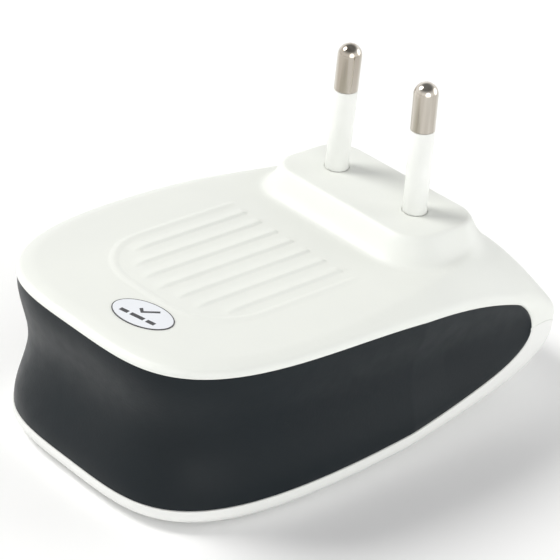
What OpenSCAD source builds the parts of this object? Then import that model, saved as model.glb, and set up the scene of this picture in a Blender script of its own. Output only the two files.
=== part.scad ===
// Plug-in ultrasonic pest repeller with a two-pin mains plug.
// Millimetres. The origin is the centre of the plug's engagement face. +Z runs out along the
// plug pins, +Y points at the nose of the body and -Y at its fat end. The body hangs below.

/* [Body] */
// Distance from the plug axis to the fat end of the body
fat_reach = 61.3; // [60:0.1:64]
// Distance from the plug axis to the nose of the body
nose_reach = 26.3; // [26:0.1:28]
// Greatest width of the body
body_w = 55.4; // [55:0.2:60]
// Thickness of the body between its flat back and its flat front
body_h = 28.9; // [28.5:0.1:31]
// Squareness of the fat end seen from the back, 2 is an ellipse
fat_power = 3.8; // [3:0.1:5]
// Squareness of the nose seen from the back
nose_power = 7.5; // [5:0.1:8]
// Wall thickness at the front and the back
wall = 2; // [1.6:0.1:2.2]

/* [Side band] */
// Distance from the plug axis to the tip of the band
tip_reach = 14.5; // [13:0.1:15]
// Depth of the band's tip under the flat back, where the parting line round the nose starts
tip_drop = 14.7; // [14:0.1:15.5]
// Depth of the waist pressed into the band
waist = 2.1; // [0:0.1:2.2]
// Wall thickness of the band
band_wall = 1.8; // [1.4:0.1:2]
// Gap between the band and the covers
band_gap = 0.1; // [0.05:0.05:0.3]
// How far the band's edges stand in from the covers
band_inset = 0.1; // [0.05:0.05:0.5]

/* [Plug] */
// Height of the plug's plinth above the flat back
plinth_h = 4.4; // [4:0.1:6]
// Width of the plinth's face
plinth_w = 34.4; // [34:0.2:36]
// Length of the plinth's face
plinth_l = 16.2; // [15:0.2:17]
// Distance between the pins where they leave the plinth
pin_pitch = 18.6; // [18.6:0.1:19.2]
// Distance between the pins at their tips
pin_tip_pitch = 17.5; // [17:0.1:18.6]
// Diameter of the bare pins
pin_d = 4; // [3.94:0.01:4.06]
// How far the pins stand out of the plinth
pin_l = 22.4; // [19:0.2:24]
// How much of that length is sleeved
sleeve_l = 14.3; // [10:0.1:15]

/* [Grille] */
// Number of louvre lines in the pad on the back
louvre_n = 7; // [5:2:9]
// Distance between louvre lines
louvre_pitch = 3.85; // [3.5:0.05:4]
// Number of sound slots through the front
slot_n = 7; // [5:2:7]
// Width of a sound slot
slot_w = 1.8; // [1.2:0.1:2]

/* [Circuit board] */
// Width of the board
board_w = 31; // [30:0.5:31]
// Length of the board
board_l = 44; // [43:0.5:44]
// Thickness of the board
board_t = 1.6; // [1.2:0.2:1.6]

/* [Hidden] */

back_z = -plinth_h;
front_z = back_z - body_h;
half_w = body_w / 2;
widest_y = -13.9;
// Shallow recess in the plug face round the foot of each sleeve
mouth_d = 4.4;
mouth_deep = 0.12;
fat_a = fat_reach + widest_y;
nose_a = nose_reach - widest_y;
narrowing = 0.003;       // how much the body narrows for each millimetre towards the nose
lip = 1.1;               // straight lip under the sloped rims
corner = 1.6;            // greatest rounding where the lip meets the slope
tip_run_back = 5;        // length over which the band's back edge turns down to its tip
tip_run_front = 11;      // length over which its front edge turns up
flange = 2.9;            // width of the flange that covers the band's edge
tongue = 1.5;            // depth of the locating tongue inside the band
tongue_t = 1.1;
eps = 0.01;

// Stations round the body, in degrees about its widest point, closer together at the corners
// and at the tip of the band
function turn_at(y) = let (v = (y - widest_y) / nose_a)
    atan2(y - widest_y, half_w * pow(1 - pow(v, nose_power), 1 / nose_power));
tip_turns = [for (d = [6.4, 4.4, 2.8, 1.6, 0.8, 0.3, 0.08, 0]) turn_at(tip_reach - d)];
band_half = concat([for (a = [-90:5:-75]) a], [for (a = [-71.5:2.5:-46.5]) a],
    [for (a = [-42:4.5:34.5]) a], [for (i = [0:6]) tip_turns[i]]);
half_turn = concat(band_half, [tip_turns[7]], [for (a = [48.2:1.65:74.6]) a], [78, 82, 86, 90]);
last_half = len(half_turn) - 1;
turns = concat(half_turn, [for (i = [last_half - 1:-1:1]) 180 - half_turn[i]]);

// ---------- outline and heights ----------
function reach(a) =
    let (n = sin(a) < 0 ? fat_power : nose_power, s = sin(a) < 0 ? fat_a : nose_a)
    pow(pow(abs(cos(a)) / half_w, n) + pow(abs(sin(a)) / s, n), -1 / n);
function along(a) = widest_y + reach(a) * sin(a);
function narrow(y) = 1 - narrowing * max(0, y - widest_y);
function spot(a, off, z) =
    let (r = reach(a) - off, y = widest_y + r * sin(a)) [r * cos(a) * narrow(y), y, z];
// b, eased so that it never passes limit
function eased(b, limit) = b / pow(1 + pow(b / limit, 8), 1 / 8);

function parting(y) =
    tip_drop + eased(5.6 * pow(max(0, y - tip_reach) / (nose_reach - tip_reach), 2.5), 5);
function rim_back(y) = eased(0.73 + 16.2 * pow(max(0, y + 62) / (nose_reach + 62), 4.32), 19.6);
function front_base(y) =
    24.6 + 0.8 * pow(max(0, -30 - y) / 31.7, 2)
    - 10.3 * pow(max(0, y + 54.9) / (nose_reach + 54.9), 3.12);
function rim_front(y) = eased(body_h - front_base(y) - lip, body_h - parting(y) - 0.2);
function closing(y, run, p) =
    let (t = min(1, max(0, (y - tip_reach + run) / run))) pow(1 - pow(t, p), 1 / p);
function edge_back(y) = y >= tip_reach ? parting(y)
    : tip_drop - (tip_drop - rim_back(y) - lip) * closing(y, tip_run_back, 2.1);
function edge_front(y) = y >= tip_reach ? parting(y)
    : tip_drop + (front_base(y) - tip_drop) * closing(y, tip_run_front, 3.2);
function run_back(y) = 2.1 + 0.99 * rim_back(y);
function run_front(y) = 2.7 + 1.6 * rim_front(y);
// How far down the slope a point is, from 1 at the rim to 0 on the flat, given how far out it is
function fall(c) = pow(c, 1.27);
// Height of the back at a point in plan
function back_at(x, y) =
    let (u = x / narrow(y), a = atan2(y - widest_y, u), r = norm([u, y - widest_y]),
         y0 = along(a), b = rim_back(y0), c = 1 - (reach(a) - r) / run_back(y0))
    back_z - b * fall(min(1, max(0, c)));

// ---------- shared shapes ----------
// A closed solid through rings of equal length. The first ring's cap faces down, the last up.
module skin(rings) {
    n = len(rings[0]);
    m = len(rings);
    polyhedron(
        points = [for (r = rings) each r],
        faces = concat(
            [[for (i = [0:n - 1]) i]],
            [for (j = [0:m - 2], i = [0:n - 1]) let (k = (i + 1) % n)
                each [[j * n + i, (j + 1) * n + i, (j + 1) * n + k],
                      [j * n + i, (j + 1) * n + k, j * n + k]]],
            [[for (i = [n - 1:-1:0]) (m - 1) * n + i]]
        )
    );
}

// A tube of diameter d swept along the points of a path
module lead(path, d) {
    m = len(path);
    steps = [for (i = [0:m - 1]) path[min(m - 1, i + 1)] - path[max(0, i - 1)]];
    skin([for (i = [0:m - 1]) let (
        t = steps[i] / norm(steps[i]),
        s = cross(t, [0.3, 0.9, 0.2]),
        u = s / norm(s),
        v = cross(t, u))
        [for (a = [0:45:315]) path[i] + d / 2 * (cos(a) * u - sin(a) * v)]]);
}

module rounded_rect(w, l, r) {
    square([w - 2 * r, l], center = true);
    square([w, l - 2 * r], center = true);
    for (x = [-1, 1], y = [-1, 1])
        translate([x * (w / 2 - r), y * (l / 2 - r)]) circle(r = r, $fn = 48);
}

module slot(l, w) {
    square([w, l - w], center = true);
    for (y = [-1, 1]) translate([0, y * (l - w) / 2]) circle(d = w, $fn = 24);
}

module ring(d_out, d_in, h) {
    difference() {
        cylinder(d = d_out, h = h, $fn = 64);
        translate([0, 0, -1]) cylinder(d = d_in, h = h + 2, $fn = 64);
    }
}

// Puts its children where a pin stands, leaning as the pin leans. side is -1 or 1.
module at_pin(side) {
    lean = atan((pin_pitch - pin_tip_pitch) / 2 / pin_l);
    translate([side * pin_pitch / 2, 0, 0]) rotate([0, -side * lean, 0]) children();
}

// ---------- covers and band ----------
post_spots = [[19.3, -46], [-19.3, -46], [18.6, 3.5], [-18.6, 3.5]];
floor_z = front_z + wall;
ceiling_z = back_z - wall;
peg_d = 3;
post_top = -15;
peg_end = -21;
board_z = -20;                       // underside of the board
board_y = -31;                       // middle of the board
board_posts = [[12.8, -50], [-12.8, -50], [12.8, -12], [-12.8, -12]];
sound_y = -35;
slot_pitch = 3.4;
slot_r = 12.2;                       // the slots end on a circle of this radius
seat_z = -11.5;                      // face inside the plinth that the pins' collars rest on
collar_t = 1.2;
plate_t = 2;
clamp_x = 4.6;

// The slope round the back, from its rounded corner at t = 0 up to the flat at t = 1
function back_ring(t) = [for (a = turns)
    let (y = along(a), m = min(corner, 0.8 * (edge_back(y) - rim_back(y))),
         c = (1 - m / run_back(y)) * cos(90 * t))
    spot(a, run_back(y) * (1 - c), back_z - rim_back(y) * fall(c))];
function corner_ring(t) = [for (a = turns)
    let (y = along(a), b = rim_back(y), m = min(corner, 0.8 * (edge_back(y) - b)))
    spot(a, m * t * t, back_z - (1 - t) * (1 - t) * (b + m) - 2 * t * (1 - t) * b
        - t * t * b * fall(1 - m / run_back(y)))];
function back_inner(phi) = [for (a = turns)
    let (y = along(a), e = edge_back(y), o = flange + tongue_t + 0.02)
    spot(a, o + (run_back(y) + 1 - o) * (1 - cos(phi)),
        ceiling_z - (e - wall) * pow(cos(phi), 1.8))];
function back_edge_ring(off, low) =
    [for (a = turns) spot(a, off, back_z - edge_back(along(a)) - low)];
function front_ring(phi) = [for (a = turns)
    let (y = along(a), b = rim_front(y))
    spot(a, run_front(y) * (1 - cos(phi)), front_z + b - b * sin(phi))];
function front_inner(phi) = [for (a = turns)
    let (y = along(a), e = body_h - edge_front(y), o = 2.2)
    spot(a, o + (run_front(y) + 1.5 - o) * (1 - cos(phi)), front_z + e - (e - wall) * sin(phi))];

// Raised louvre lines of the pad: [x, start, end] along Y
louvre_end = -17.3;
louvre_h = 0.3;
louvres = [for (i = [-(louvre_n - 1) / 2:(louvre_n - 1) / 2])
    [i * louvre_pitch, -45.6 + 0.11 * pow(i, 4) / 3 + 0.25 * i * i, louvre_end]];
pad_side = louvre_pitch * (louvre_n - 1) / 2 + 3.6;

module pad_outline(grow) {
    difference() {
        translate([0, -33]) rounded_rect(2 * (pad_side + grow), 29.8 + 2 * grow, 11 + grow);
        translate([-30, louvre_end - 8]) square([60, 30]);
    }
    translate([-pad_side - grow, -32]) square([2 * (pad_side + grow), 32 + louvre_end]);
}

module pad() {
    for (l = louvres) translate([l[0], l[2], back_z]) rotate([90, 0, 0])
        linear_extrude(height = l[2] - l[1])
            polygon([[-1.9, -0.1], [-0.4, louvre_h], [-0.1, louvre_h], [0.35, -0.1]]);
    translate([0, 0, back_z - 0.1]) linear_extrude(height = louvre_h + 0.1) difference() {
        pad_outline(0.3);
        pad_outline(-0.9);
    }
}

// The plinth's flank: distance out from its edge, and how much of its height is left there
flank = [[-0.7, 1], [-0.25, 0.97], [0.1, 0.88], [0.6, 0.68], [1.2, 0.44], [1.9, 0.22], [2.8, 0.06],
         [3.7, 0]];
plinth_r = 5.2;

function plinth_ring(out, left, sink = 0) =
    let (r = plinth_r + out, cx = plinth_w / 2 - plinth_r, cy = plinth_l / 2 - plinth_r)
    [for (q = [0:3], a = [0:15:90]) let (
        t = q * 90 + a,
        x = (q == 0 || q == 3 ? cx : -cx) + r * cos(t),
        y = (q < 2 ? cy : -cy) + r * sin(t))
        [x, y, back_at(x, y) * (1 - left) - sink]];

module plinth() {
    n = len(flank);
    skin(concat(
        [[for (p = plinth_ring(flank[n - 1][0], 0)) [p[0], p[1], back_z - 3.5]]],
        [for (i = [n - 1:-1:0]) plinth_ring(flank[i][0], flank[i][1], i == n - 1 ? 0.45 : 0)]
    ));
    translate([0, 0, seat_z]) linear_extrude(height = 6) rounded_rect(plinth_w - 4, 15, 4);
}

module back_cover() {
    color("ivory") difference() {
        union() {
            skin(concat(
                [back_inner(90), back_inner(60), back_inner(30), back_inner(0)],
                [back_edge_ring(flange + tongue_t, tongue), back_edge_ring(flange, tongue)],
                [back_edge_ring(flange - eps, 0), back_edge_ring(0, 0)],
                [for (t = [0, 0.35, 0.7]) corner_ring(t)],
                [for (t = [0, 0.3, 0.55, 0.75, 0.88, 1]) back_ring(t)]
            ));
            plinth();
            pad();
            for (p = post_spots) translate([p[0], p[1], peg_end])
                cylinder(d = peg_d, h = ceiling_z - peg_end + eps, $fn = 32);
            for (x = [-clamp_x, clamp_x]) translate([x, 0, seat_z - collar_t]) 
                cylinder(d = 5, h = 2, $fn = 32);
        }
        for (side = [-1, 1]) at_pin(side) {
            translate([0, 0, -20]) cylinder(d = 3.1, h = 30, $fn = 48);
            translate([0, 0, -4]) cylinder(d = 3.6, h = 10, $fn = 48);
            translate([0, 0, -mouth_deep]) cylinder(d = mouth_d, h = 5, $fn = 48);
        }
        for (x = [-clamp_x, clamp_x]) translate([x, 0, seat_z - 4])
            cylinder(d = 2.2, h = 9.5, $fn = 32);
    }
}

module front_cover() {
    color("white") difference() {
        union() {
            skin(concat(
                [for (phi = [90:-15:0]) front_ring(phi)],
                [[for (a = turns) spot(a, 0, back_z - edge_front(along(a)))]],
                [front_inner(0), front_inner(30), front_inner(60), front_inner(90)]
            ));
            for (p = post_spots) translate([p[0], p[1], floor_z - eps])
                cylinder(d = 5.6, h = post_top - floor_z, $fn = 40);
            for (p = board_posts) translate([p[0], p[1], floor_z - eps])
                cylinder(d = 4.4, h = board_z - floor_z + eps, $fn = 40);
        }
        for (p = post_spots) translate([p[0], p[1], peg_end - 0.5])
            cylinder(d = peg_d + 0.05, h = 12, $fn = 32);
        for (p = board_posts) translate([p[0], p[1], board_z - 6])
            cylinder(d = 1.7, h = 8, $fn = 32);
        for (i = [-(slot_n - 1) / 2:(slot_n - 1) / 2])
            translate([i * slot_pitch, sound_y, front_z - 1]) linear_extrude(height = wall + 2)
                slot(2 * sqrt(pow(slot_r, 2) - pow(abs(i) * slot_pitch + slot_w / 2, 2)), slot_w);
        translate([0, -12, front_z - 1]) cylinder(d = 5, h = wall + 2, $fn = 48);
    }
}

// One slice of the band at station a: its outer face from back to front, then its inner face
band_steps = 6;
function band_point(a, s, thick) =
    let (y = along(a), top = edge_back(y) + band_gap, h = edge_front(y) - band_gap - top)
    spot(a, band_inset + thick + waist * min(1, h / 18) * pow(sin(180 * s), 2),
         back_z - top - s * h);
function band_slice(a) = concat(
    [for (k = [0:band_steps]) band_point(a, k / band_steps, 0)],
    [for (k = [band_steps:-1:0]) band_point(a, k / band_steps, band_wall)]);
band_turns = concat(
    [for (i = [len(band_half) - 1:-1:0]) 180 - band_half[i]],
    [for (i = [1:len(band_half) - 1]) band_half[i] + 360]
);
// The band ends in an edge at its tip, as thick as its wall
function band_tip(a) =
    [for (thick = [0, band_wall]) spot(a, band_inset + thick, back_z - tip_drop)];

module side_band() {
    n = 2 * (band_steps + 1);
    m = len(band_turns);
    tip_a = tip_turns[7] - 0.03;
    o = (m - 1) * n;
    // Which of a tip's two points stands in for point i of a slice
    function end(i) = i % n <= band_steps ? 0 : 1;
    color("dimgray") polyhedron(
        points = concat([for (a = band_turns) each band_slice(a)],
            band_tip(180 - tip_a), band_tip(tip_a)),
        faces = concat(
            [for (j = [0:m - 2], i = [0:n - 1]) let (k = (i + 1) % n)
                each [[j * n + i, (j + 1) * n + i, (j + 1) * n + k],
                      [j * n + i, (j + 1) * n + k, j * n + k]]],
            [for (i = [0:n - 1]) [m * n + end(i), i, (i + 1) % n]],
            [for (i = [band_steps, n - 1]) [m * n + end(i), (i + 1) % n, m * n + end(i + 1)]],
            [for (i = [0:n - 1]) [o + i, m * n + 2 + end(i + 1), o + (i + 1) % n]],
            [for (i = [band_steps, n - 1]) [o + i, m * n + 2 + end(i), m * n + 2 + end(i + 1)]]
        )
    );
}

// ---------- plug ----------
module plug_pin(side) {
    color("silver") at_pin(side) union() {
        rotate_extrude($fn = 64) polygon(concat(
            [[0, -18], [1, -18], [1, -14.5], [1.5, -14.5], [1.5, sleeve_l], [pin_d / 2, sleeve_l]],
            [for (a = [0:10:90]) [pin_d / 2 * cos(a), pin_l - pin_d / 2 + pin_d / 2 * sin(a)]]
        ));
        translate([0, 0, seat_z - collar_t]) ring(6, 2.9, collar_t - 0.05);
    }
}

module pin_sleeve(side) {
    color("whitesmoke") at_pin(side) rotate_extrude($fn = 64) polygon([
        [1.52, -3.8], [1.74, -3.8], [1.74, 0.04], [pin_d / 2, 0.04], [pin_d / 2, sleeve_l - 0.02],
        [1.52, sleeve_l - 0.02]]);
}

module pin_clamp_plate() {
    color("peru") translate([0, 0, seat_z - collar_t - 0.02 - plate_t]) linear_extrude(height = plate_t)
        difference() {
            rounded_rect(28, 11, 2.5);
            for (x = [-9.55, 9.55]) translate([x, 0]) circle(d = 4, $fn = 48);
            for (x = [-clamp_x, clamp_x]) translate([x, 0]) circle(d = 2.8, $fn = 32);
        }
}

module self_tapper(d, l, head_d) {
    cylinder(d = d, h = l, $fn = 32);
    translate([0, 0, -1.4]) difference() {
        cylinder(d = head_d, h = 1.4, $fn = 32);
        for (r = [0, 90]) rotate([0, 0, r]) translate([-1.2, -0.3, -0.1]) cube([2.4, 0.6, 0.8]);
    }
}

module clamp_screws() {
    color("silver") for (x = [-clamp_x, clamp_x])
        translate([x, 0, seat_z - collar_t - 0.04 - plate_t]) self_tapper(2.16, 8, 4.4);
}

// ---------- circuit board and its parts ----------
board_top = board_z + board_t;

module circuit_board() {
    color("darkgreen") translate([0, board_y, board_z + 0.02]) linear_extrude(height = board_t)
        difference() {
            rounded_rect(board_w, board_l, 2.5);
            for (p = board_posts) translate([p[0], p[1] - board_y]) circle(d = 2.2, $fn = 32);
            for (x = [-6, 6]) translate([x, 20]) circle(d = 1.8, $fn = 24);
            for (x = [-4, 4]) translate([x, -20]) circle(d = 1.6, $fn = 24);
            for (x = [-1.27, 1.27]) translate([x, 19]) circle(d = 0.9, $fn = 24);
        }
}

module board_screws() {
    color("silver") for (p = board_posts) translate([p[0], p[1], board_top + 0.04])
        mirror([0, 0, 1]) self_tapper(1.66, 6, 3.6);
}

module transducer_frame() {
    color("black") translate([0, sound_y, floor_z + 1.02]) difference() {
        union() {
            cylinder(d = 29, h = 3, $fn = 64);
            translate([0, 0, 3 - eps]) cylinder(d = 22, h = 3.4, $fn = 64);
        }
        translate([0, 0, -1]) cylinder(d = 25.4, h = 3, $fn = 64);
        translate([0, 0, 1.5]) cylinder(d = 16, h = 3.7, $fn = 64);
        for (x = [-6, 6]) translate([x, 0, 4]) cylinder(d = 1.8, h = 4, $fn = 24);
    }
}

module transducer_cone() {
    color("gainsboro") translate([0, sound_y, floor_z + 1.06])
        rotate_extrude($fn = 64) polygon([
            [12.6, 0], [12.6, 0.35], [11.4, 0.35], [4.2, 2.9], [0, 2.9], [0, 2.6], [4.1, 2.6],
            [11.3, 0]]);
}

module piezo_disc() {
    color("goldenrod") translate([0, sound_y, floor_z + 4.0]) {
        cylinder(d = 13, h = 0.3, $fn = 64);
        translate([0, 0, 0.3]) cylinder(d = 9, h = 0.3, $fn = 48);
    }
}

module transducer_gasket() {
    color("dimgray") translate([0, sound_y, floor_z + 0.02]) ring(28.6, 25.6, 0.98);
}

module dropper_capacitor() {
    color("gold") translate([6.2, -27, board_top + 0.04]) {
        linear_extrude(height = 9) rounded_rect(7, 17, 0.8);
        for (y = [-7.5, 7.5]) translate([0, y, -2.4]) cylinder(d = 0.6, h = 2.42, $fn = 16);
    }
}

module smoothing_capacitor() {
    color("midnightblue") translate([-9.2, -41, board_top + 4.1]) rotate([-90, 0, 0]) {
        rotate_extrude($fn = 48) polygon([
            [0, 0], [3.8, 0], [4, 0.2], [4, 1.2], [3.7, 1.5], [4, 1.8], [4, 12.3], [3.7, 12.5], [0, 12.5]]);
        for (x = [-1.2, 1.2]) translate([x, 0, -1.5]) cylinder(d = 0.6, h = 1.51, $fn = 16);
    }
}

module axial_part(d, l, span) {
    rotate([0, 90, 0]) translate([0, 0, -l / 2]) cylinder(d = d, h = l, $fn = 32);
    for (x = [-1, 1]) {
        translate([x * span / 2, 0, -d / 2 - 0.02]) cylinder(d = 0.6, h = d / 2 + 0.32, $fn = 16);
        translate([x > 0 ? l / 2 - eps : -span / 2, 0, 0]) rotate([0, 90, 0])
            cylinder(d = 0.6, h = span / 2 - l / 2 + eps, $fn = 16);
    }
}

module rectifier_diodes() {
    color("black") for (i = [0:3])
        translate([-9.4, -25.6 + i * 3.3, board_top + 1.4]) axial_part(2.6, 5, 9);
}

module driver_chip() {
    color("black") translate([-1.4, -40.6, board_top + 0.6]) {
        translate([-3.2, -5, 0]) cube([6.4, 10, 3.3]);
        for (i = [0:3], x = [-1, 1]) translate([x * 3.6 - 0.4, -4.1 + i * 2.54, -0.5])
            cube([0.8, 0.6, 1.8]);
    }
}

module switching_transistors() {
    color("black") for (i = [0:1])
        translate([7.4, -41 - 6 * i, board_top + 2.2]) {
            difference() {
                cylinder(d = 4.8, h = 4.6, $fn = 40);
                translate([-3, 1.3, -1]) cube([6, 3, 7]);
            }
            for (x = [-1.27, 0, 1.27]) translate([x, 0, -2.1]) cylinder(d = 0.5, h = 2.12, $fn = 16);
        }
}

module resistors() {
    color("tan") for (i = [0:4])
        translate([-0.9, -32.5 + i * 3.1, board_top + 1.12]) scale(0.62) axial_part(3.4, 6.4, 8.4);
}

module boost_coil() {
    color("dimgray") translate([0, -49.4, board_top + 0.04]) {
        cylinder(d = 3, h = 6.8, $fn = 40);
        for (z = [0, 5.8]) translate([0, 0, z]) cylinder(d = 6, h = 1, $fn = 40);
        translate([0, 0, 1]) ring(5.2, 2.98, 4.8);
    }
}

module board_fuse() {
    color("sienna") translate([4.4, -14.4, board_top + 1.8]) axial_part(3.4, 8.5, 12);
}

module indicator_led() {
    color("tomato") translate([0, -12, board_z - 0.5]) mirror([0, 0, 1]) {
        translate([0, 0, 1.6]) {
            cylinder(d = 3.8, h = 1, $fn = 40);
            cylinder(d = 3, h = 3.4, $fn = 40);
            translate([0, 0, 3.4]) sphere(d = 3, $fn = 40);
        }
        for (x = [-1.27, 1.27]) translate([x, 0, -2.4]) cylinder(d = 0.5, h = 4.1, $fn = 16);
    }
}

module indicator_lens() {
    color("lightcyan") translate([0, -12, front_z - 0.3]) difference() {
        union() {
            cylinder(d = 4.96, h = wall + 0.32, $fn = 48);
            translate([0, 0, wall + 0.32]) cylinder(d = 6.6, h = 1.2, $fn = 48);
        }
        translate([0, 0, wall + 0.7]) cylinder(d = 3.6, h = 2, $fn = 40);
    }
}

// ---------- leads and sticker ----------
module plug_lead(side) {
    lead([[side * 9.77, 0, -18.1], [side * 9.8, 0, -19.6], [side * 9.6, -1.2, -21.2],
          [side * 8.9, -3.6, -22.2], [side * 7.6, -6.4, -22.3], [side * 6.5, -9, -21.9],
          [side * 6.05, -10.6, -21.2], [side * 6, -11, -20.4], [side * 6, -11, -18.2]], 1.5);
}

module live_lead() {
    color("saddlebrown") plug_lead(1);
}

module neutral_lead() {
    color("royalblue") plug_lead(-1);
}

module cone_lead(side) {
    lead([[side * 6, sound_y, -26.3], [side * 6, sound_y - 0.2, -23.9], [side * 6, sound_y - 3, -22.6],
          [side * 5.4, sound_y - 7, -22.2], [side * 4.5, sound_y - 11.5, -22.1],
          [side * 4.05, sound_y - 15, -21.7], [side * 4, sound_y - 16, -20.8],
          [side * 4, sound_y - 16, -18.3]], 1.2);
}

module transducer_lead_red() {
    color("red") cone_lead(1);
}

module transducer_lead_black() {
    color("black") cone_lead(-1);
}

module inspection_sticker() {
    color("aliceblue") translate([5.12, -52.2, back_z + 0.01]) rotate([0, 0, 10.5])
        linear_extrude(height = 0.12) polygon([for (a = [0:10:350]) [5.5 * cos(a), 3.5 * sin(a)]]);
}

back_cover();
front_cover();
side_band();
plug_pin(-1);  // plug_pin_left
plug_pin(1);  // plug_pin_right
pin_sleeve(-1);  // pin_sleeve_left
pin_sleeve(1);  // pin_sleeve_right
pin_clamp_plate();
clamp_screws();
circuit_board();
board_screws();
transducer_frame();
transducer_cone();
piezo_disc();
transducer_gasket();
dropper_capacitor();
smoothing_capacitor();
rectifier_diodes();
driver_chip();
switching_transistors();
resistors();
boost_coil();
board_fuse();
indicator_led();
indicator_lens();
live_lead();
neutral_lead();
transducer_lead_red();
transducer_lead_black();
inspection_sticker();
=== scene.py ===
"""Looks of a plug-in ultrasonic pest repeller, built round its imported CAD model.

Lengths below are in millimetres in the CAD frame. They turn into metres where meshes are made.
"""

import math

import bmesh
import bpy
import numpy as np
from mathutils import Matrix, Vector, kdtree
from mathutils.geometry import delaunay_2d_cdt


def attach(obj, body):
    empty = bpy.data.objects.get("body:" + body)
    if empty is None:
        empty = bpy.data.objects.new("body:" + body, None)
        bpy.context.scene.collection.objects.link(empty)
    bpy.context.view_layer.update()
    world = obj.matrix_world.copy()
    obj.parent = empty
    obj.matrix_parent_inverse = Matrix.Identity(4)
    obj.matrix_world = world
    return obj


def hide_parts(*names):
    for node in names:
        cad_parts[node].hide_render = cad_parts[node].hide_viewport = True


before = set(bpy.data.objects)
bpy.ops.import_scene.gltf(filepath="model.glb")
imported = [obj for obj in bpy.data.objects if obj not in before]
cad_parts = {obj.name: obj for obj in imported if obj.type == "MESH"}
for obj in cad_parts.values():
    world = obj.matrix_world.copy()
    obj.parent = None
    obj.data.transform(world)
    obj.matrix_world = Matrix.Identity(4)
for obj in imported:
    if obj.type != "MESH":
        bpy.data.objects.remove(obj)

MM = 0.001

# ---------- the body's shape, as in the CAD model ----------
FAT_REACH, NOSE_REACH, HALF_W, WIDEST_Y = 61.3, 26.3, 27.7, -13.9
FAT_POWER, NOSE_POWER = 3.8, 7.5
FAT_A, NOSE_A = FAT_REACH + WIDEST_Y, NOSE_REACH - WIDEST_Y
NARROWING = 0.003
BACK_Z, BODY_H = -4.4, 28.9
FRONT_Z = BACK_Z - BODY_H
WALL, LIP, CORNER = 2.0, 1.1, 1.6
TIP_Y, TIP_DROP, TIP_RUN_BACK, TIP_RUN_FRONT = 14.5, 14.7, 5.0, 11.0
FLANGE, TONGUE, TONGUE_T = 2.9, 1.5, 1.1
WAIST, BAND_WALL, BAND_GAP, BAND_INSET = 2.1, 1.8, 0.1, 0.1
PLINTH_W, PLINTH_L, PLINTH_R = 34.4, 16.2, 5.2
PIN_PITCH, PIN_TIP_PITCH, PIN_D, PIN_L, SLEEVE_L = 18.6, 17.5, 4.0, 22.4, 14.3
LEAN = math.atan((PIN_PITCH - PIN_TIP_PITCH) / 2 / PIN_L)
MOUTH_R, MOUTH_DEEP, BORE_R = 2.2, 0.12, 1.8
LOUVRE_PITCH, LOUVRE_SHIFT, LOUVRE_END, LOUVRE_H = 3.85, 0.3, -17.6, 0.3
LOUVRE_STARTS = (-41.1, -44.1, -45.2, -45.8, -44.9, -44.4, -41.6)
PAD_SIDE, PAD_LOW, PAD_R, BEAD_HALF, BEAD_H = 14.95, -47.6, 10.7, 1.05, 0.22
SOUND_Y, SLOT_PITCH, SLOT_R, SLOT_W = -35.0, 3.4, 12.2, 1.8
LENS_Y = -12.0
POST_SPOTS = ((19.3, -46), (-19.3, -46), (18.6, 3.5), (-18.6, 3.5))
BOARD_POSTS = ((12.8, -50), (-12.8, -50), (12.8, -12), (-12.8, -12))


def reach(t):
    s, c = np.sin(t), np.cos(t)
    n = np.where(s < 0, FAT_POWER, NOSE_POWER)
    a = np.where(s < 0, FAT_A, NOSE_A)
    return (np.abs(c / HALF_W) ** n + np.abs(s / a) ** n) ** (-1 / n)


def along(t):
    return WIDEST_Y + reach(t) * np.sin(t)


def narrow(y):
    return 1 - NARROWING * np.maximum(0, y - WIDEST_Y)


def eased(b, limit):
    return b / (1 + (b / limit) ** 8) ** 0.125


def parting(y):
    s = np.maximum(0, y - TIP_Y) / (NOSE_REACH - TIP_Y)
    return TIP_DROP + eased(5.6 * s**2.5, 5)


def rim_back(y):
    return eased(0.73 + 16.2 * (np.maximum(0, y + 62) / (NOSE_REACH + 62)) ** 4.32, 19.6)


def front_base(y):
    sag = (np.maximum(0, -30 - y) / 31.7) ** 2
    return 24.6 + 0.8 * sag - 10.3 * (np.maximum(0, y + 54.9) / (NOSE_REACH + 54.9)) ** 3.12


def rim_front(y):
    return eased(BODY_H - front_base(y) - LIP, BODY_H - parting(y) - 0.2)


def closing(y, run, p):
    t = np.clip((y - TIP_Y + run) / run, 0, 1)
    return (1 - t**p) ** (1 / p)


def edge_back(y):
    e = TIP_DROP - (TIP_DROP - rim_back(y) - LIP) * closing(y, TIP_RUN_BACK, 2.1)
    return np.where(y >= TIP_Y, parting(y), e)


def edge_front(y):
    e = TIP_DROP + (front_base(y) - TIP_DROP) * closing(y, TIP_RUN_FRONT, 3.2)
    return np.where(y >= TIP_Y, parting(y), e)


def run_back(y):
    return 2.1 + 0.99 * rim_back(y)


def run_front(y):
    return 2.7 + 1.6 * rim_front(y)


def fall(c):
    """How far down the slope round the back a point is, for how far out it is."""
    return c**1.27


def even_turns(count):
    """Angles about the widest point that space points evenly round the outline."""
    t = np.linspace(-math.pi / 2, 1.5 * math.pi, 20001)
    r = reach(t)
    y = WIDEST_Y + r * np.sin(t)
    x = r * np.cos(t) * narrow(y)
    s = np.concatenate([[0], np.cumsum(np.hypot(np.diff(x), np.diff(y)))])
    return np.interp(np.arange(count) / count * s[-1], s, t)


def at(t, off, z):
    """Points of the body at angles t, off millimetres in from the outline, at heights z."""
    r = reach(t) - off
    y = WIDEST_Y + r * np.sin(t)
    return np.stack([r * np.cos(t) * narrow(y), y, z + 0 * t], axis=1)


def body_z(x, y):
    """Height of the rounded back at a point in plan."""
    u = x / narrow(y)
    t = np.arctan2(y - WIDEST_Y, u)
    off = reach(t) - np.hypot(u, y - WIDEST_Y)
    y0 = along(t)
    b, run = rim_back(y0), run_back(y0)
    return BACK_Z - b * fall(np.clip(1 - off / run, 0, 1))


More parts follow.
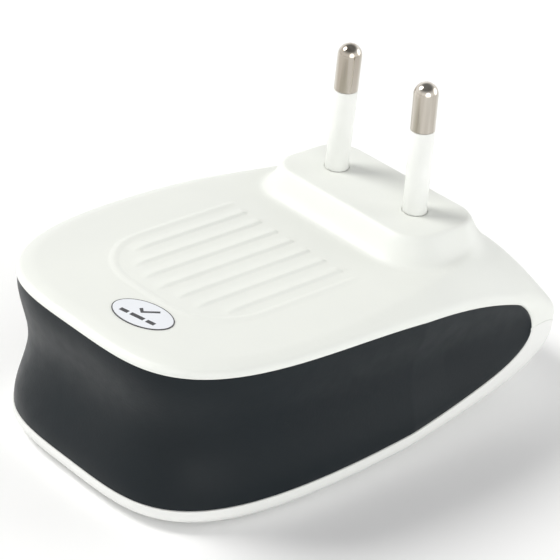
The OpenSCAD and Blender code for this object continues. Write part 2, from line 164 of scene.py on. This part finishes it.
def rect_distance(x, y, w, l, r):
    """Signed distance out of a rounded rectangle."""
    qx, qy = np.abs(x) - w / 2 + r, np.abs(y) - l / 2 + r
    return np.hypot(np.maximum(qx, 0), np.maximum(qy, 0)) + np.minimum(np.maximum(qx, qy), 0) - r


FLARE_D = np.array([-0.9, -0.6, -0.3, 0.0, 0.3, 0.6, 1.0, 1.4, 1.9, 2.4, 3.0, 3.7])
FLARE_H = np.array([1.0, 0.992, 0.965, 0.91, 0.81, 0.69, 0.52, 0.365, 0.21, 0.1, 0.03, 0.0])


def smooth_interp(x, xs, ys):
    """Monotone cubic interpolation through a table."""
    h, d = np.diff(xs), np.diff(ys) / np.diff(xs)
    inner = np.where(d[:-1] * d[1:] > 0, 2 * d[:-1] * d[1:] / (d[:-1] + d[1:] + 1e-12), 0)
    m = np.concatenate([[0], inner, [0]])
    x = np.clip(x, xs[0], xs[-1])
    i = np.clip(np.searchsorted(xs, x) - 1, 0, len(h) - 1)
    u = (x - xs[i]) / h[i]
    return (
        (1 + 2 * u) * (1 - u) ** 2 * ys[i]
        + u * (1 - u) ** 2 * h[i] * m[i]
        + u * u * (3 - 2 * u) * ys[i + 1]
        + u * u * (u - 1) * h[i] * m[i + 1]
    )


LOUVRE_X = np.array([-1.8, -1.2, -0.6, -0.25, 0.0, 0.2, 0.4, 0.55])
LOUVRE_Z = np.array([0.0, 0.33, 0.74, 0.97, 1.0, 0.6, 0.12, 0.0])
LOUVRES = [((i - 3) * LOUVRE_PITCH + LOUVRE_SHIFT, y) for i, y in enumerate(LOUVRE_STARTS)]


def pad_distance(x, y):
    """Signed distance out of the middle line of the bead round the louvre pad."""
    low = rect_distance(x, y - PAD_LOW - 30, 2 * PAD_SIDE, 60, PAD_R)
    return np.where(y > PAD_LOW + PAD_R, np.abs(x) - PAD_SIDE, low)


def pad_z(x, y):
    """How far the louvre lines and the bead round them stand up."""
    d = np.clip(np.abs(pad_distance(x, y)) / BEAD_HALF, 0, 1)
    z = BEAD_H * np.cos(d * math.pi / 2) ** 2 * np.clip((LOUVRE_END + 0.6 - y) / 1.2, 0, 1)
    for lx, start in LOUVRES:
        h = LOUVRE_H * np.interp(x - lx, LOUVRE_X, LOUVRE_Z)
        z = z + h * np.clip((y - start) / 2.2, 0, 1) ** 0.7 * np.clip((LOUVRE_END - y) / 0.5, 0, 1)
    return z


def back_z(x, y):
    """Height of the back cover with its plinth and its louvre pad."""
    z = body_z(x, y)
    d = rect_distance(x, y, PLINTH_W, PLINTH_L, PLINTH_R)
    return z - z * smooth_interp(d, FLARE_D, FLARE_H) + pad_z(x, y)


# ---------- meshes ----------
class Shell:
    """Vertices in millimetres and faces, collected piece by piece."""

    def __init__(self):
        self.verts, self.faces, self.tags = [], [], []

    def add(self, points):
        first = len(self.verts)
        self.verts.extend(tuple(float(c) for c in p) for p in points)
        return list(range(first, len(self.verts)))

    def face(self, ids, tag=0):
        self.faces.append(tuple(ids))
        self.tags.append(tag)

    def bridge(self, a, b, closed=True, tag=0):
        n = len(a)
        for i in range(n if closed else n - 1):
            j = (i + 1) % n
            self.face((a[i], a[j], b[j], b[i]), tag)

    def rings(self, loops, closed=True, tag=0):
        ids = [self.add(p) for p in loops]
        for a, b in zip(ids, ids[1:]):
            self.bridge(a, b, closed, tag)
        return ids

    def join(self, other):
        first = len(self.verts)
        self.verts.extend(other.verts)
        self.faces.extend(tuple(first + i for i in f) for f in other.faces)
        self.tags.extend(other.tags)

    def build(self, name, materials, crease=35.0, weld=0.0005):
        me = bpy.data.meshes.new(name)
        me.from_pydata([(x * MM, y * MM, z * MM) for x, y, z in self.verts], [], self.faces)
        me.polygons.foreach_set("material_index", self.tags)
        bm = bmesh.new()
        bm.from_mesh(me)
        bmesh.ops.remove_doubles(bm, verts=bm.verts, dist=weld * MM)
        bmesh.ops.recalc_face_normals(bm, faces=bm.faces)
        bm.to_mesh(me)
        bm.free()
        me.shade_smooth()
        me.set_sharp_from_angle(angle=math.radians(crease))
        for m in materials:
            me.materials.append(m)
        ob = bpy.data.objects.new(name, me)
        bpy.context.scene.collection.objects.link(ob)
        return ob


def circle(cx, cy, r, count):
    a = np.arange(count) / count * 2 * math.pi
    return np.stack([cx + r * np.cos(a), cy + r * np.sin(a)], axis=1)


def rounded_rect(w, l, r, step=0.8, arc=10):
    """Points counter-clockwise round a rectangle with rounded corners."""
    out = []
    hx, hy = w / 2 - r, l / 2 - r
    for q, (cx, cy) in enumerate([(hx, hy), (-hx, hy), (-hx, -hy), (hx, -hy)]):
        a = np.radians(q * 90 + np.linspace(0, 90, arc + 1))
        out.append(np.stack([cx + r * np.cos(a), cy + r * np.sin(a)], axis=1))
        nxt = [(-hx, hy + r), (-hx - r, -hy), (hx, -hy - r), (hx + r, hy)][q]
        last = out[-1][-1]
        n = max(2, int(np.hypot(*(np.array(nxt) - last)) / step))
        out.append(last + np.linspace(0, 1, n + 1)[1:-1, None] * (np.array(nxt) - last))
    return np.concatenate(out)


def fill(shell, outer, lines, height, spacing, keep=None, down=False, tag=0, margin=0.45):
    """Triangulates the inside of a loop in plan, with lines as edges, and lifts it to height.

    outer is a closed loop and lines are (points, closed) pairs. Returns nothing: vertices on
    shared loops are welded when the mesh is built.
    """
    points, edges = [], []
    for loop, closed in [(outer, True)] + list(lines):
        first = len(points)
        points.extend(map(tuple, loop))
        edges.extend((first + i, first + i + 1) for i in range(len(loop) - 1))
        if closed:
            edges.append((first + len(loop) - 1, first))
    tree = kdtree.KDTree(len(points))
    for i, (x, y) in enumerate(points):
        tree.insert((x, y, 0), i)
    tree.balance()
    lo, hi = outer.min(axis=0), outer.max(axis=0)
    row = 0
    y = lo[1]
    while y < hi[1]:
        x = lo[0] + (row % 2) * spacing / 2
        while x < hi[0]:
            if tree.find((x, y, 0))[2] > spacing * margin and inside(x, y, outer):
                points.append((x, y))
            x += spacing
        y += spacing * 0.866
        row += 1
    flat = [Vector(p) for p in points]
    vs, _, fs, _, _, _ = delaunay_2d_cdt(flat, edges, [], 1, 1e-6)
    xy = np.array([tuple(v) for v in vs])
    z = height(xy[:, 0], xy[:, 1])
    ids = shell.add(np.column_stack([xy, z]))
    tri = np.array([tuple(f) for f in fs])
    mid = xy[tri].mean(axis=1)
    ok = np.ones(len(tri), bool) if keep is None else keep(mid[:, 0], mid[:, 1])
    for f in tri[ok]:
        f = f[::-1] if down else f
        shell.face([ids[i] for i in f], tag)


def inside(x, y, loop):
    px, py = loop[:, 0], loop[:, 1]
    qx, qy = np.roll(px, -1), np.roll(py, -1)
    cross = (py > y) != (qy > y)
    with np.errstate(divide="ignore", invalid="ignore"):
        hit = x < (qx - px) * (y - py) / (qy - py) + px
    return bool(np.count_nonzero(cross & hit) % 2)


def lathe(profile, count=96):
    """Rings of an outline of (radius, z) pairs turned round Z."""
    a = np.arange(count) / count * 2 * math.pi
    return [np.stack([r * np.cos(a), r * np.sin(a), z + 0 * a], axis=1) for r, z in profile]


def move(points, matrix):
    p = np.column_stack([points, np.ones(len(points))])
    return p @ np.array(matrix).T[:, :3]


# ---------- materials ----------
def material(name):
    m = bpy.data.materials.new(name)
    m.use_nodes = True
    nt = m.node_tree
    nt.nodes.clear()
    out = nt.nodes.new("ShaderNodeOutputMaterial")
    bsdf = nt.nodes.new("ShaderNodeBsdfPrincipled")
    nt.links.new(bsdf.outputs[0], out.inputs[0])
    return m, nt, bsdf


def noise(nt, scale, detail=3.0, stretch=(1, 1, 1)):
    """Noise over the object's own coordinates, with scale in features per millimetre."""
    co = nt.nodes.new("ShaderNodeTexCoord")
    mp = nt.nodes.new("ShaderNodeMapping")
    mp.inputs["Scale"].default_value = [s / MM for s in stretch]
    n = nt.nodes.new("ShaderNodeTexNoise")
    n.inputs["Scale"].default_value = scale
    n.inputs["Detail"].default_value = detail
    nt.links.new(co.outputs["Object"], mp.inputs[0])
    nt.links.new(mp.outputs[0], n.inputs["Vector"])
    return n.outputs["Fac"]


def remap(nt, value, lo, hi, a, b):
    r = nt.nodes.new("ShaderNodeMapRange")
    for key, v in (("From Min", lo), ("From Max", hi), ("To Min", a), ("To Max", b)):
        r.inputs[key].default_value = v
    nt.links.new(value, r.inputs["Value"])
    return r.outputs[0]


def blend(nt, fac, a, b):
    mix = nt.nodes.new("ShaderNodeMix")
    mix.data_type = "RGBA"
    for key, v in ((6, a), (7, b)):
        if isinstance(v, tuple):
            mix.inputs[key].default_value = (*v, 1)
        else:
            nt.links.new(v, mix.inputs[key])
    nt.links.new(fac, mix.inputs[0])
    return mix.outputs[2]


def bump(nt, bsdf, heights):
    """Chains bumps of (height socket, depth in millimetres)."""
    last = None
    for value, depth in heights:
        b = nt.nodes.new("ShaderNodeBump")
        b.inputs["Distance"].default_value = depth * MM
        nt.links.new(value, b.inputs["Height"])
        if last:
            nt.links.new(last, b.inputs["Normal"])
        last = b.outputs[0]
    nt.links.new(last, bsdf.inputs["Normal"])


def moulded(name, light, dark, rough, grain=2.5, depth=0.012, coat=0.0, specular=0.5, mottle=0.05):
    """Moulded plastic with a fine spark-eroded grain, faint mottling and handling marks."""
    m, nt, bsdf = material(name)
    big = noise(nt, mottle, 4.0)
    fine = noise(nt, grain, 2.0)
    mid = noise(nt, 0.35, 5.0)
    tone = remap(nt, big, 0.35, 0.65, 0, 1)
    nt.links.new(blend(nt, tone, light, dark), bsdf.inputs["Base Color"])
    nt.links.new(remap(nt, mid, 0.3, 0.7, rough - 0.04, rough + 0.06), bsdf.inputs["Roughness"])
    bump(nt, bsdf, [(fine, depth), (mid, depth * 1.5)])
    bsdf.inputs["Coat Weight"].default_value = coat
    bsdf.inputs["Coat Roughness"].default_value = 0.3
    bsdf.inputs["Specular IOR Level"].default_value = specular
    return m


def metal(name, light, dark, rough, stretch=(1, 1, 1), scale=1.5, depth=0.004):
    """Plated or drawn metal with fine scratches along one direction."""
    m, nt, bsdf = material(name)
    scratch = noise(nt, scale, 6.0, stretch)
    haze = noise(nt, 0.55, 2.0, (1, 1, stretch[2] * 0.3))
    nt.links.new(blend(nt, remap(nt, haze, 0.38, 0.62, 0, 1), light, dark), bsdf.inputs["Base Color"])
    nt.links.new(remap(nt, scratch, 0.3, 0.7, rough * 0.8, rough * 1.3), bsdf.inputs["Roughness"])
    bump(nt, bsdf, [(scratch, depth)])
    bsdf.inputs["Metallic"].default_value = 1.0
    return m


WHITE = moulded("cover_white", (0.735, 0.75, 0.71), (0.715, 0.73, 0.695), 0.46)
WHITE_FRONT = moulded("front_white", (0.735, 0.74, 0.72), (0.715, 0.722, 0.70), 0.38)
BAND = moulded("band_charcoal", (0.0024, 0.0058, 0.0084), (0.0032, 0.0072, 0.0100), 0.38, specular=0.23)
SLEEVE = moulded("sleeve_white", (0.80, 0.81, 0.78), (0.77, 0.78, 0.75), 0.36, mottle=0.2)
NICKEL = metal("pin_nickel", (0.66, 0.625, 0.565), (0.42, 0.375, 0.32), 0.14, (1, 1, 0.08))
STICKER_EDGE = moulded("sticker_ink", (0.045, 0.045, 0.05), (0.06, 0.06, 0.065), 0.45, depth=0.002)
STICKER_FACE = moulded("label_paper", (0.735, 0.755, 0.79), (0.71, 0.73, 0.77), 0.5, depth=0.004)

INNER_LOOKS = {
    "pin_clamp_plate": ((0.30, 0.13, 0.05), (0.36, 0.17, 0.07), 0.5),
    "circuit_board": ((0.02, 0.14, 0.05), (0.03, 0.18, 0.07), 0.35),
    "transducer_frame": ((0.02, 0.02, 0.02), (0.03, 0.03, 0.03), 0.4),
    "transducer_gasket": ((0.05, 0.05, 0.05), (0.08, 0.08, 0.08), 0.9),
    "dropper_capacitor": ((0.62, 0.38, 0.03), (0.68, 0.44, 0.05), 0.35),
    "smoothing_capacitor": ((0.02, 0.04, 0.15), (0.03, 0.05, 0.19), 0.3),
    "rectifier_diodes": ((0.02, 0.02, 0.02), (0.03, 0.03, 0.03), 0.5),
    "driver_chip": ((0.02, 0.02, 0.02), (0.03, 0.03, 0.03), 0.55),
    "switching_transistors": ((0.02, 0.02, 0.02), (0.03, 0.03, 0.03), 0.55),
    "resistors": ((0.50, 0.36, 0.22), (0.56, 0.41, 0.26), 0.35),
    "board_fuse": ((0.30, 0.12, 0.05), (0.36, 0.15, 0.07), 0.3),
    "indicator_led": ((0.50, 0.06, 0.04), (0.60, 0.08, 0.05), 0.15),
    "indicator_lens": ((0.62, 0.70, 0.74), (0.66, 0.73, 0.77), 0.2),
    "live_lead": ((0.13, 0.055, 0.025), (0.16, 0.07, 0.03), 0.4),
    "neutral_lead": ((0.02, 0.08, 0.36), (0.03, 0.10, 0.42), 0.4),
    "transducer_lead_red": ((0.42, 0.02, 0.015), (0.50, 0.03, 0.02), 0.4),
    "transducer_lead_black": ((0.02, 0.02, 0.02), (0.03, 0.03, 0.03), 0.4),
}
INNER_METALS = {
    "clamp_screws": ((0.56, 0.56, 0.54), (0.48, 0.48, 0.46), 0.3),
    "board_screws": ((0.56, 0.56, 0.54), (0.48, 0.48, 0.46), 0.3),
    "transducer_cone": ((0.72, 0.72, 0.73), (0.66, 0.66, 0.67), 0.35),
    "piezo_disc": ((0.70, 0.50, 0.20), (0.62, 0.43, 0.16), 0.3),
    "boost_coil": ((0.45, 0.18, 0.06), (0.38, 0.14, 0.05), 0.35),
}


# ---------- pieces ----------
def add_tube(shell, cx, cy, r, z0, z1, bore=None, bore_z=None, count=40):
    """A closed round post, with a blind bore down from its top if one is asked for."""
    def ring(radius, z):
        return np.column_stack([circle(cx, cy, radius, count), np.full(count, z)])

    loops = [ring(r, z0), ring(r, z1)]
    if bore:
        loops += [ring(bore, z1), ring(bore, bore_z)]
    ids = shell.rings(loops)
    shell.face(ids[0][::-1])
    shell.face(ids[-1])


def bore_centre(side, z):
    return side * (PIN_PITCH / 2 - z * math.tan(LEAN))


def pad_lines():
    """Edges that the pad's louvre lines and its bead need in the mesh."""
    lines = []
    for lx, start in LOUVRES:
        first = [start, start + 0.4, start + 1.1]
        stops = np.concatenate([first, np.arange(start + 2.2, LOUVRE_END - 1, 1.1)])
        stops = np.concatenate([stops, [LOUVRE_END - 0.5, LOUVRE_END]])
        for dx in LOUVRE_X:
            lines.append((np.column_stack([0 * stops + lx + dx, stops]), False))
        for y in (start, LOUVRE_END - 0.5, LOUVRE_END):
            lines.append((np.column_stack([lx + LOUVRE_X, 0 * LOUVRE_X + y]), False))
    for d in np.array([-1, -0.72, -0.45, -0.2, 0, 0.2, 0.45, 0.72, 1]) * BEAD_HALF:
        side = PAD_SIDE + d
        a = np.radians(np.linspace(180, 270, 19))
        r, cx, cy = PAD_R + d, PAD_SIDE - PAD_R, PAD_LOW + PAD_R
        left = np.column_stack([-cx + r * np.cos(a), cy + r * np.sin(a)])
        right = np.column_stack([-left[::-1, 0], left[::-1, 1]])
        down = np.concatenate([np.arange(LOUVRE_END + 0.6, cy + 0.5, -0.9)])
        floor = np.linspace(-cx, cx, 12)[1:-1]
        lines.append((np.concatenate([
            np.column_stack([0 * down - side, down]),
            left,
            np.column_stack([floor, 0 * floor + cy - r]),
            right,
            np.column_stack([0 * down + side, down[::-1]]),
        ]), False))
    return lines


def make_back_cover():
    shell = Shell()
    t = even_turns(560)
    y0 = along(t)
    b, run, edge = rim_back(y0), run_back(y0), edge_back(y0)
    soft, inner = 0.12, FLANGE + TONGUE_T
    round_r = np.minimum(CORNER, 0.8 * (edge - b))
    loops = []
    for p in np.radians([90, 70, 50, 30, 15, 0]):
        off = inner + (run + 1 - inner) * (1 - math.cos(p))
        loops.append(at(t, off, BACK_Z - WALL - (edge - WALL) * math.cos(p) ** 1.8))
    loops += [
        at(t, inner, BACK_Z - edge - TONGUE),
        at(t, FLANGE, BACK_Z - edge - TONGUE),
        at(t, FLANGE, BACK_Z - edge),
        at(t, soft, BACK_Z - edge),
        at(t, soft * 0.3, BACK_Z - edge + soft * 0.3),
        at(t, 0.0, BACK_Z - edge + soft),
    ]
    slope = b * fall(1 - round_r / run)
    for k in np.linspace(0, 1, 9):
        depth = (1 - k) ** 2 * (b + round_r) + 2 * k * (1 - k) * b + k * k * slope
        loops.append(at(t, round_r * k * k, BACK_Z - depth))
    for p in np.radians([6, 12, 18, 25, 33, 42]):
        c = (1 - round_r / run) * math.cos(p)
        loops.append(at(t, run * (1 - c), BACK_Z - b * fall(c)))
    shell.rings(loops)
    lines = pad_lines()
    for d in (-0.9, -0.7, -0.5, -0.3, -0.1, 0.1, 0.3, 0.6, 0.9, 1.25, 1.6, 2.0, 2.4, 2.8, 3.2, 3.7):
        lines.append((rounded_rect(PLINTH_W + 2 * d, PLINTH_L + 2 * d, PLINTH_R + d, 0.7, 14), True))
    mouths = [(s, circle(bore_centre(s, 0), 0, MOUTH_R, 48)) for s in (-1, 1)]
    ends = [(s, circle(bore_centre(s, BACK_Z - WALL), 0, 1.55, 48)) for s in (-1, 1)]

    def clear(r, z):
        return lambda x, y: np.minimum(
            np.hypot(x - bore_centre(1, z), y), np.hypot(x - bore_centre(-1, z), y)) > r - 0.01

    fill(shell, loops[-1][:, :2], lines + [(c, True) for _, c in mouths], back_z, 0.85, clear(MOUTH_R, 0))
    low = BACK_Z - WALL
    fill(shell, loops[0][:, :2], [(c, True) for _, c in ends], lambda x, y: low + 0 * x, 3.0,
         clear(1.55, low), down=True)
    for s, _ in mouths:
        steps = [(MOUTH_R, 0.0), (MOUTH_R, -MOUTH_DEEP), (BORE_R, -MOUTH_DEEP)]
        steps += [(BORE_R, -4.0), (1.55, -4.0), (1.55, low)]
        shell.rings([
            np.column_stack([circle(bore_centre(s, 0 if z > low else low), 0, r, 48), np.full(48, z)])
            for r, z in steps
        ])
    pedestal = Shell()
    outline = rounded_rect(PLINTH_W - 4, 15, 4, 1.5, 6)
    seat = -11.5
    for z, down in ((low + 0.6, False), (seat, True)):
        holes = [(circle(bore_centre(s, z), 0, 1.6, 48), True) for s in (-1, 1)]
        fill(pedestal, outline, holes, lambda x, y: z + 0 * x, 2.5, clear(1.6, z), down=down)
    pedestal.rings([np.column_stack([outline, 0 * outline[:, 0] + z]) for z in (seat, low + 0.6)])
    for s in (-1, 1):
        pedestal.rings([
            np.column_stack([circle(bore_centre(s, z), 0, 1.6, 48), np.full(48, z)])
            for z in (seat, low + 0.6)
        ])
    shell.join(pedestal)
    for x, y in POST_SPOTS:
        add_tube(shell, x, y, 1.5, -21, low + 0.3)
    return shell.build("back_cover_shell", [WHITE])


def make_front_cover():
    shell = Shell()
    t = even_turns(560)
    y0 = along(t)
    b, run, edge = rim_front(y0), run_front(y0), BODY_H - edge_front(y0)
    soft, thick = 0.1, 2.2
    loops = []
    for p in np.radians(np.linspace(90, 0, 16)):
        loops.append(at(t, run * (1 - math.cos(p)), FRONT_Z + b - b * math.sin(p)))
    loops += [
        at(t, 0.0, FRONT_Z + edge - soft),
        at(t, soft * 0.3, FRONT_Z + edge - soft * 0.3),
        at(t, soft, FRONT_Z + edge),
        at(t, thick, FRONT_Z + edge),
    ]
    for p in np.radians([15, 30, 45, 60, 75, 90]):
        off = thick + (run + 1.5 - thick) * (1 - math.cos(p))
        loops.append(at(t, off, FRONT_Z + edge - (edge - WALL) * math.sin(p)))
    shell.rings(loops)
    holes = []
    for i in range(-3, 4):
        x = abs(i) * SLOT_PITCH + SLOT_W / 2
        half = math.sqrt(SLOT_R**2 - x * x)
        r = rounded_rect(SLOT_W, 2 * half, SLOT_W / 2 - 0.001, 0.8, 8)
        holes.append(r + [i * SLOT_PITCH, SOUND_Y])
    holes.append(circle(0, LENS_Y, 2.5, 48))

    def keep(x, y):
        ok = np.hypot(x, y - LENS_Y) > 2.49
        for i in range(-3, 4):
            xx = abs(i) * SLOT_PITCH + SLOT_W / 2
            half = math.sqrt(SLOT_R**2 - xx * xx)
            ok &= rect_distance(x - i * SLOT_PITCH, y - SOUND_Y, SLOT_W, 2 * half, SLOT_W / 2 - 0.001) > 0
        return ok

    lines = [(h, True) for h in holes]
    fill(shell, loops[0][:, :2], lines, lambda x, y: FRONT_Z + 0 * x, 3.0, keep, down=True)
    fill(shell, loops[-1][:, :2], lines, lambda x, y: FRONT_Z + WALL + 0 * x, 3.0, keep)
    for h in holes:
        shell.rings([np.column_stack([h, 0 * h[:, 0] + z]) for z in (FRONT_Z, FRONT_Z + WALL)])
    for x, y in POST_SPOTS:
        add_tube(shell, x, y, 2.8, FRONT_Z + WALL - 0.3, -15, 1.525, -21.5)
    for x, y in BOARD_POSTS:
        add_tube(shell, x, y, 2.2, FRONT_Z + WALL - 0.3, -20, 0.85, -26)
    return shell.build("front_cover_shell", [WHITE_FRONT])


def make_band():
    shell = Shell()
    half = even_turns(560)
    t = np.concatenate([half[280:], half[:281] + 2 * math.pi])
    t = t[along(t) < TIP_Y - 0.35]
    v = (TIP_Y - 0.02 - WIDEST_Y) / NOSE_A
    x = HALF_W * (1 - v**NOSE_POWER) ** (1 / NOSE_POWER)
    tip = math.atan2(v * NOSE_A, x)
    extra = np.linspace(0, 1, 6)[1:]
    right = t[-1] + (tip + 2 * math.pi - t[-1]) * extra
    left = t[0] + (math.pi - tip - t[0]) * extra
    t = np.concatenate([left[::-1], t, right])
    y = along(t)
    top, low = edge_back(y) + BAND_GAP, edge_front(y) - BAND_GAP
    mid = (top + low) / 2
    top, low = np.minimum(top, mid), np.maximum(low, mid)
    h = low - top
    deep = WAIST * np.minimum(1, h / 18)
    loops = []
    for s in np.linspace(0, 1, 33):
        soft = 0.08 * (1 - min(1, 8 * min(s, 1 - s))) ** 2
        loops.append(at(t, BAND_INSET + soft + deep * math.sin(math.pi * s) ** 2, BACK_Z - top - s * h))
    for s in (1, 0.75, 0.5, 0.25, 0):
        loops.append(at(t, BAND_INSET + BAND_WALL + deep * math.sin(math.pi * s) ** 2, BACK_Z - top - s * h))
    ids = [shell.add(p) for p in loops]
    for a, b in zip(ids, ids[1:] + ids[:1]):
        shell.bridge(a, b, closed=False)
    for end in (0, -1):
        shell.face([r[end] for r in ids])
    return shell.build("side_band_shell", [BAND])


def pin_matrix(side):
    return Matrix.Translation((side * PIN_PITCH / 2, 0, 0)) @ Matrix.Rotation(-side * LEAN, 4, "Y")


def make_pin(side, name):
    shell = Shell()
    r = PIN_D / 2
    profile = [(0.001, -18), (1, -18), (1, -14.5), (1.5, -14.5), (1.5, SLEEVE_L), (r - 0.1, SLEEVE_L)]
    profile += [(r, SLEEVE_L + 0.1)]
    profile += [(r * math.cos(a), PIN_L - r + r * math.sin(a)) for a in np.radians(np.linspace(0, 89.9, 19))]
    loops = [move(p, pin_matrix(side)) for p in lathe(profile)]
    ids = shell.rings(loops)
    shell.face(ids[0][::-1])
    shell.face(ids[-1])
    return shell.build(name, [NICKEL])


def make_sleeve(side, name):
    shell = Shell()
    top = SLEEVE_L - 0.02
    profile = [(1.52, -3.8), (1.74, -3.8), (1.74, 0.04), (1.98, 0.04), (2.0, 0.07)]
    profile += [(2.0, top - 0.15), (1.96, top - 0.04), (1.86, top), (1.52, top)]
    loops = [move(p, pin_matrix(side)) for p in lathe(profile)]
    ids = shell.rings(loops)
    shell.bridge(ids[-1], ids[0])
    return shell.build(name, [SLEEVE])


STICKER_X, STICKER_Y, STICKER_TURN = 5.12, -52.2, 10.5
STICKER_A, STICKER_B, STICKER_THICK, STICKER_LINE = 5.5, 3.5, 0.12, 0.18


def make_sticker():
    """An oval label with a dark outline and a plain tick over a bar."""
    shell = Shell()
    a = np.arange(96) / 96 * 2 * math.pi
    z0, z1 = BACK_Z + 0.01, BACK_Z + STICKER_THICK
    turn = math.radians(STICKER_TURN)

    def place(p):
        c, s = math.cos(turn), math.sin(turn)
        x, y = c * p[:, 0] - s * p[:, 1], s * p[:, 0] + c * p[:, 1]
        return np.column_stack([STICKER_X + x, STICKER_Y + y])

    def oval(k):
        return place(np.column_stack([(STICKER_A - k) * np.cos(a), (STICKER_B - k) * np.sin(a)]))

    tick = np.array([(-1.5, 0.9), (-1.15, 1.35), (-0.45, 0.7), (1.4, 2.4), (1.75, 1.95), (-0.45, 0.0)])
    bars = [tick]
    for x0, x1 in ((-3.5, -1.9), (-1.4, 1.2), (1.7, 3.3)):
        bars.append(np.array([(x0, -1.55), (x1, -1.55), (x1, -0.75), (x0, -0.75)]))
    marks = [place(m) for m in bars]

    def keep(x, y, want):
        hit = np.zeros(len(x), bool)
        for m in marks:
            hit |= np.array([inside(px, py, m) for px, py in zip(x, y)])
        return hit == want

    steps = ((0, z0), (0, z1 - 0.02), (0.02, z1), (STICKER_LINE, z1))
    rim = [np.column_stack([oval(k), np.full(96, z)]) for k, z in steps]
    ids = shell.rings(rim)
    shell.face(ids[0][::-1])
    lines = [(m, True) for m in marks]
    for want, tag in ((False, 1), (True, 0)):
        clear_of = lambda x, y: keep(x, y, want)
        fill(shell, oval(STICKER_LINE), lines, lambda x, y: z1 + 0 * x, 0.8, clear_of, tag=tag)
    return shell.build("sticker_oval", [STICKER_EDGE, STICKER_FACE])


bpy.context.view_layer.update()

made = [
    (make_back_cover(), "back_cover", "back_plastic"),
    (make_front_cover(), "front_cover", "front_plastic"),
    (make_band(), "side_band", "band_plastic"),
    (make_pin(-1, "pin_left_metal"), "plug_pin_left", "pin_metal"),
    (make_pin(1, "pin_right_metal"), "plug_pin_right", "pin_metal"),
    (make_sleeve(-1, "sleeve_left"), "pin_sleeve_left", "sleeve_plastic"),
    (make_sleeve(1, "sleeve_right"), "pin_sleeve_right", "sleeve_plastic"),
    (make_sticker(), "inspection_sticker", "sticker_paper"),
]
for piece, node, slot in made:
    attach(piece, "root")
    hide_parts(node)

for node, look in INNER_LOOKS.items():
    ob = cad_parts[node]
    m = moulded("look_" + node, *look)
    for s in ob.material_slots:
        s.material = m
for node, look in INNER_METALS.items():
    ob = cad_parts[node]
    m = metal("look_" + node, *look)
    for s in ob.material_slots:
        s.material = m

# ---------- camera, floor and light ----------
cam = bpy.data.cameras.new("camera")
cam.sensor_width = 36
cam.lens = 150.54
cam.clip_start, cam.clip_end = 0.01, 10
cam_ob = bpy.data.objects.new("camera", cam)
right, up, back = (0.65935, 0.74791, 0.0768), (-0.4106, 0.27263, 0.8701), (0.62981, -0.60524, 0.48685)
cam_ob.matrix_world = Matrix.Translation(Vector((236.84, -247.21, 171.98)) * MM) @ Matrix(
    (right, up, back)
).transposed().to_4x4()
bpy.context.scene.collection.objects.link(cam_ob)
bpy.context.scene.camera = cam_ob

floor_shell = Shell()
FLOOR_HALF = 3000
floor_corners = [(-1, -1), (1, -1), (1, 1), (-1, 1)]
floor_shell.face(floor_shell.add([(x * FLOOR_HALF, y * FLOOR_HALF, FRONT_Z) for x, y in floor_corners]))
FLOOR = moulded("floor_white", (0.93, 0.93, 0.93), (0.92, 0.92, 0.92), 0.8, depth=0.002)
floor = floor_shell.build("floor", [FLOOR])


def area(name, where, aim, size, power, colour=(1, 1, 1)):
    light = bpy.data.lights.new(name, "AREA")
    light.shape = "DISK"
    light.size = size
    light.energy = power
    light.color = colour
    ob = bpy.data.objects.new(name, light)
    ob.location = where
    ob.rotation_mode = "QUATERNION"
    ob.rotation_quaternion = (Vector(aim) - Vector(where)).to_track_quat("-Z", "Y")
    bpy.context.scene.collection.objects.link(ob)


def studio_sky():
    """A pale studio: bright walls round the horizon and a dim ceiling."""
    world = bpy.data.worlds.new("world")
    world.use_nodes = True
    nt = world.node_tree
    co = nt.nodes.new("ShaderNodeTexCoord")
    split = nt.nodes.new("ShaderNodeSeparateXYZ")
    nt.links.new(co.outputs["Generated"], split.inputs[0])
    up = remap(nt, split.outputs["Z"], 0.35, 0.78, 0, 1)
    colour = blend(nt, up, WALL_GLOW, CEILING_GLOW)
    nt.links.new(colour, nt.nodes["Background"].inputs[0])
    bpy.context.scene.world = world


WALL_GLOW, CEILING_GLOW = (1.22, 1.22, 1.22), (0.20, 0.20, 0.20)
studio_sky()
centre = (0, -0.017, -0.015)
area("key", (-0.545, -0.39, 0.742), centre, 0.5, 7.3, (1.0, 0.995, 0.97))
area("fill", (0.45, 0.80, 0.28), centre, 0.7, 2.3)
area("bounce", (0.85, -0.40, 0.22), centre, 0.8, 2.8)
bpy.context.scene.view_settings.view_transform = "Standard"
